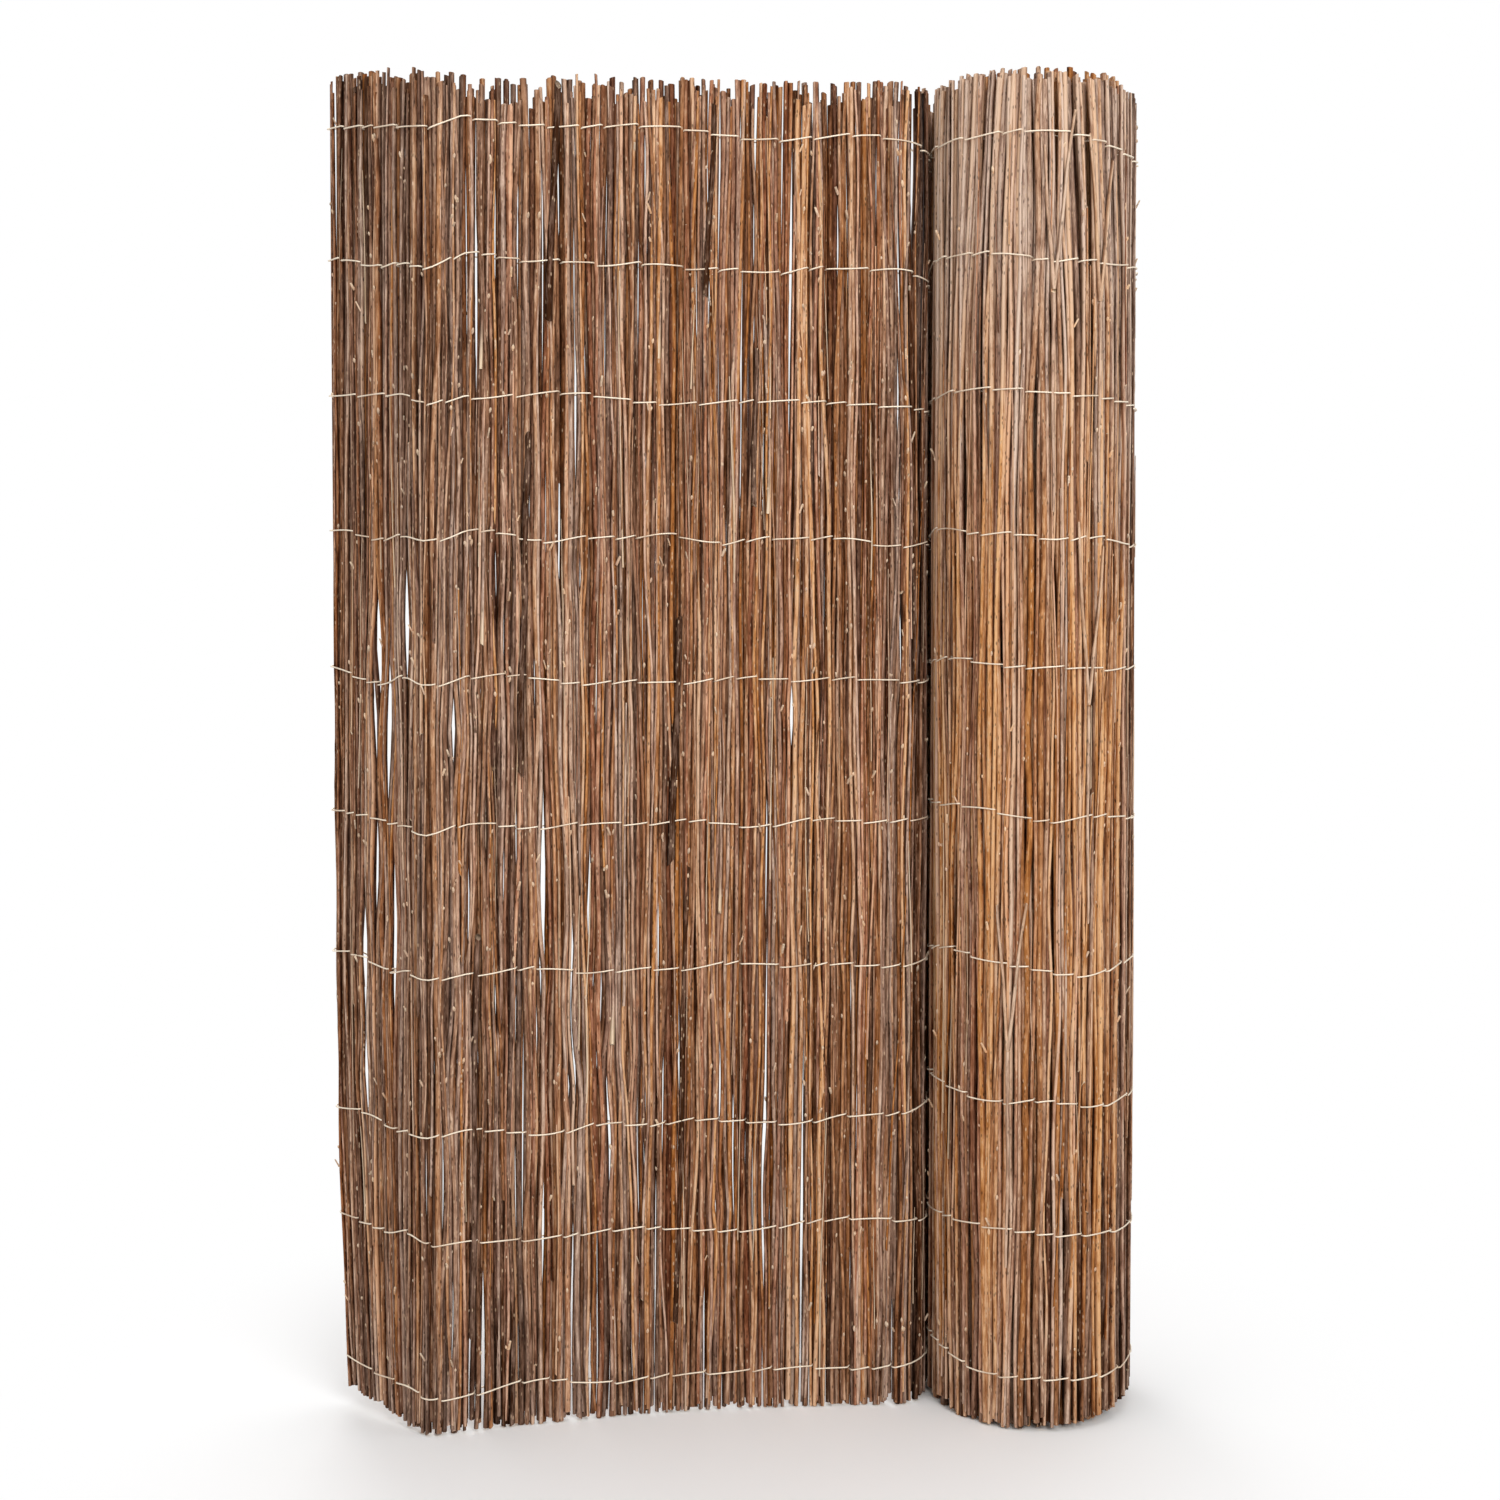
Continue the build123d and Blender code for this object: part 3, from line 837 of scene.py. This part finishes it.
# Broken rod ends, pale where the bark has come away: place along the mat and height
splints = {
    "places": [(0.215, 1.165), (0.215, 0.865), (0.412, 1.185), (0.535, 1.015), (0.358, 0.42), (0.48, 0.565)],
    "length": (0.16, 0.34), "thickness": 0.0062, "girth": (0.6, 1.0), "taper": 0.6, "tipBelow": 0.02,
    "lean": 0.012, "bend": 0.001, "bendRate": 5, "depth": -0.0046, "sink": 0.0025, "bareEnd": 0.032,
    "bareMost": 1.4, "warmth": 0.1, "rings": 14, "sides": 8, "slant": 2.2, "seed": 81,
}


def addSplints():
    parts = newParts()
    rng = np.random.default_rng(splints["seed"])
    share = np.linspace(0, 1, splints["rings"]) ** 2  # more rings towards the break
    for s, z in splints["places"]:
        length = min(rng.uniform(*splints["length"]), mat["rodLength"] - splints["tipBelow"] - z)
        width = splints["thickness"] * rng.uniform(*splints["girth"])
        bend = splints["bend"] * np.sin(splints["bendRate"] * share)
        rod = {"z": z + length * share, "s": s + splints["lean"] * length * share + bend,
               "depth": splints["depth"] + splints["sink"] * share,
               "radius": width / 2 * (1 - splints["taper"] * share)}
        rod["bare"] = np.clip(splints["bareMost"] - length * share / splints["bareEnd"], 0, 1)
        tint = rodTint(rng, s)
        tint[1] = splints["warmth"]
        addRod(parts, rng, rod, tint, splints["sides"], slant=splints["slant"])
    return makePiece(parts, "brokenEnds", panelBark)


print("broken ends", len(addSplints().data.polygons), "faces")

# Wire rows: heights on the panel and on the roll's front, and how they differ at the free edge and the fold
rows = {
    "panel": [0.044, 0.210, 0.330, 0.506, 0.668, 0.828, 0.986, 1.139, 1.287, 1.436],
    "roll": [0.056, 0.214, 0.360, 0.510, 0.676, 0.840, 0.982, 1.137, 1.285, 1.415],
    "edgeRise": 0.016, "foldDrop": 0.018, "pastFold": 0.04, "beforeRoll": 0.10, "onRoll": 0.12,
    "ride": 0.009, "rideBefore": 0.03, "rideReach": 0.02,  # each row rides up a little just before the fold
    "stray": 0.008, "strayLengths": (0.09, 0.34), "seed": 7,
}
rowRng = np.random.default_rng(rows["seed"])
rowWaves = [slowWaves(rowRng, 5, *rows["strayLengths"]) for _ in rows["panel"]]
rowRides = rowRng.uniform(0.0, rows["ride"], len(rows["panel"]))
rowCount = len(rows["panel"])


def rowHeight(row, s):
    panel, roll = rows["panel"][row], rows["roll"][row]
    fold = panel - rows["foldDrop"] * row / (rowCount - 1)
    marks = [0, foldAt, foldAt + rows["pastFold"],
             rollAt - rows["beforeRoll"], rollAt + rows["onRoll"], innerAt]
    level = np.interp(s, marks, [panel + rows["edgeRise"], fold, panel, panel, roll, roll])
    level = level + rowRides[row] * np.exp(-(((s - foldAt + rows["rideBefore"]) / rows["rideReach"]) ** 2))
    return level + leftRise(s) + rows["stray"] * waveAt(rowWaves[row], s)


# Twined wire: two strands change sides at each stitch, between two rods
twine = {
    "radius": 0.00084, "depth": 0.0060, "rise": 0.0018, "shortest": 0.017, "longest": 0.052, "sides": 6,
    "cross": 0.0032, "crossing": [-1, -0.6, -0.3, 0, 0.3, 0.6, 1], "clear": 1.6, "tail": 0.05,
    "loopPoints": 9, "loopReach": 0.75, "seed": 21,
}


def stitchMarks(rng, start, end):
    marks = [start]
    while marks[-1] < end - twine["longest"]:
        marks.append(marks[-1] + rng.uniform(twine["shortest"], twine["longest"]))
    return np.array(marks + [end])


def strandPoints(row, marks, first):
    spots = [marks[0]]
    clear = twine["cross"] * twine["clear"]
    for a, b in zip(marks, marks[1:]):
        spots += list(a + np.array(twine["crossing"]) * twine["cross"])
        spots += list(np.linspace(a + clear, b - clear, 6))
    s = np.unique(np.clip(spots, marks[0], marks[-1]))
    stitch = np.clip(np.searchsorted(marks, s, "right") - 1, 0, len(marks) - 2)
    side = np.where(stitch % 2 == 0, first, -first).astype(float)
    share = (s - marks[stitch]) / (marks[stitch + 1] - marks[stitch])
    depth = side.copy()
    for k in range(1, len(marks) - 1):  # ease across at each mark
        near = np.abs(s - marks[k]) <= twine["cross"]
        before = first if (k - 1) % 2 == 0 else -first
        depth[near] = -before * np.sin((s[near] - marks[k]) / twine["cross"] * math.pi / 2)
    rise = np.where(side < 0, 2 * share - 1, 1 - 2 * share)
    z = rowHeight(row, s) + twine["rise"] * rise
    x, y, _ = onMat(s, twine["depth"] * depth)
    return np.column_stack([x, y, z])


def addWire(parts, points):
    grid = ringsAlong(points, np.full(len(points), twine["radius"]), twine["sides"])
    addTube(parts, grid, grid, np.ones(grid.shape[:2] + (4,)))


def addWireRow(row):
    rng = np.random.default_rng(twine["seed"] + row)
    edgeAt = float(wingGather(0.0, rowHeight(row, 0.0)))
    marks = stitchMarks(rng, edgeAt, innerAt + twine["tail"])
    parts = newParts()
    for first in (-1, 1):
        addWire(parts, strandPoints(row, marks, first))
    bend = np.radians(np.linspace(-90, 90, twine["loopPoints"]))
    x, y, turn = onMat(np.full(len(bend), edgeAt), twine["depth"] * np.sin(bend))
    out = twine["depth"] * twine["loopReach"] * np.cos(bend)
    edge = rowHeight(row, edgeAt) + twine["rise"] * np.sin(bend)
    addWire(parts, np.column_stack([x - out * np.cos(turn), y - out * np.sin(turn), edge]))
    piece = makePiece(parts, f"twinedWire{row + 1:02d}", galvanised)
    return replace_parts(piece, f"wire_row_{row + 1:02d}")


for row in range(rowCount):
    addWireRow(row)
print("wire rows", rowCount)

# Camera, placed from the roll's axis
view = {"distance": 2.0, "aside": -0.3179, "height": 0.8026, "tilt": 1.553, "lens": 41.5, "sensor": 36.0}
cameraData = bpy.data.cameras.new("camera")
cameraData.lens = view["lens"]
cameraData.sensor_width = view["sensor"]
camera = bpy.data.objects.new("camera", cameraData)
camera.location = (axisX + view["aside"], axisY - view["distance"], view["height"])
camera.rotation_euler = (math.radians(90 - view["tilt"]), 0, 0)
bpy.context.collection.objects.link(camera)
bpy.context.scene.camera = camera

# Floor, light and white surroundings
studio = {
    "floorSize": 9.0, "floorBelow": 0.0005, "floorColour": (0.95, 0.95, 0.95, 1), "floorRoughness": 0.9,
    "fadeFrom": 0.34, "fadeTo": 0.85, "ambient": 0.32, "aim": (0.0, 0.0, 0.75),
    "lamps": {
        "keyLight": {"place": (1.1, -2.6, 2.0), "power": 52.0, "size": 1.6},
        "fillLight": {"place": (-2.4, -1.8, 1.2), "power": 9.0, "size": 1.6},
        "topLight": {"place": (0.0, 0.2, 3.4), "power": 62.0, "size": 3.0},
        "backLight": {"place": (-1.0, 2.7, 1.8), "power": 30.0, "size": 1.6},
    },
}


def seenDirectly(tree):
    path = addNode(tree, "ShaderNodeLightPath")
    seen = mathNode(tree, "MAXIMUM", path.outputs["Is Camera Ray"], path.outputs["Is Glossy Ray"])
    return mathNode(tree, "MAXIMUM", seen, path.outputs["Is Transmission Ray"])


def floorMaterial():
    material = bpy.data.materials.new("paleFloor")
    material.use_nodes = True
    tree = material.node_tree
    shader = tree.nodes["Principled BSDF"]
    shader.inputs["Base Color"].default_value = studio["floorColour"]
    shader.inputs["Roughness"].default_value = studio["floorRoughness"]
    place = addNode(tree, "ShaderNodeTexCoord").outputs["Object"]
    away = addNode(tree, "ShaderNodeVectorMath", {0: place}, operation="LENGTH").outputs["Value"]
    fade = addNode(tree, "ShaderNodeMapRange", {"Value": away, "From Min": studio["fadeFrom"],
                                                "From Max": studio["fadeTo"]},
                   interpolation_type="SMOOTHSTEP")
    white = addNode(tree, "ShaderNodeEmission", {"Color": (1, 1, 1, 1), "Strength": 1.0})
    mix = addNode(tree, "ShaderNodeMixShader")
    setSocket(tree, mix.inputs[0], mathNode(tree, "MULTIPLY", fade.outputs[0], seenDirectly(tree)))
    setSocket(tree, mix.inputs[1], shader.outputs[0])
    setSocket(tree, mix.inputs[2], white.outputs[0])
    setSocket(tree, tree.nodes["Material Output"].inputs["Surface"], mix.outputs[0])
    return material


half = studio["floorSize"] / 2
floorMesh = bpy.data.meshes.new("floor")
floorCorners = [(-half, -half, 0), (half, -half, 0), (half, half, 0), (-half, half, 0)]
floorMesh.from_pydata(floorCorners, [], [(0, 1, 2, 3)])
floorMesh.materials.append(floorMaterial())
floor = bpy.data.objects.new("floor", floorMesh)
floor.location.z = -studio["floorBelow"]
bpy.context.collection.objects.link(floor)

world = bpy.data.worlds.new("studioWorld")
bpy.context.scene.world = world
world.use_nodes = True
worldTree = world.node_tree
background = worldTree.nodes["Background"]
background.inputs["Color"].default_value = (1, 1, 1, 1)
setSocket(worldTree, background.inputs["Strength"],
          rangeNode(worldTree, seenDirectly(worldTree), 0.0, 1.0, studio["ambient"], 1.0))


def softLamp(name, place, power, size):
    data = bpy.data.lights.new(name, "AREA")
    data.energy = power
    data.size = size
    lamp = bpy.data.objects.new(name, data)
    lamp.location = place
    aim = np.array(studio["aim"]) - np.array(place)
    tilt = math.atan2(math.hypot(aim[0], aim[1]), -aim[2])
    lamp.rotation_euler = (tilt, 0, math.atan2(aim[1], aim[0]) - math.pi / 2)
    bpy.context.collection.objects.link(lamp)


for name, lamp in studio["lamps"].items():
    softLamp(name, **lamp)
bpy.context.scene.view_settings.view_transform = "Standard"
print("camera, floor and lights")
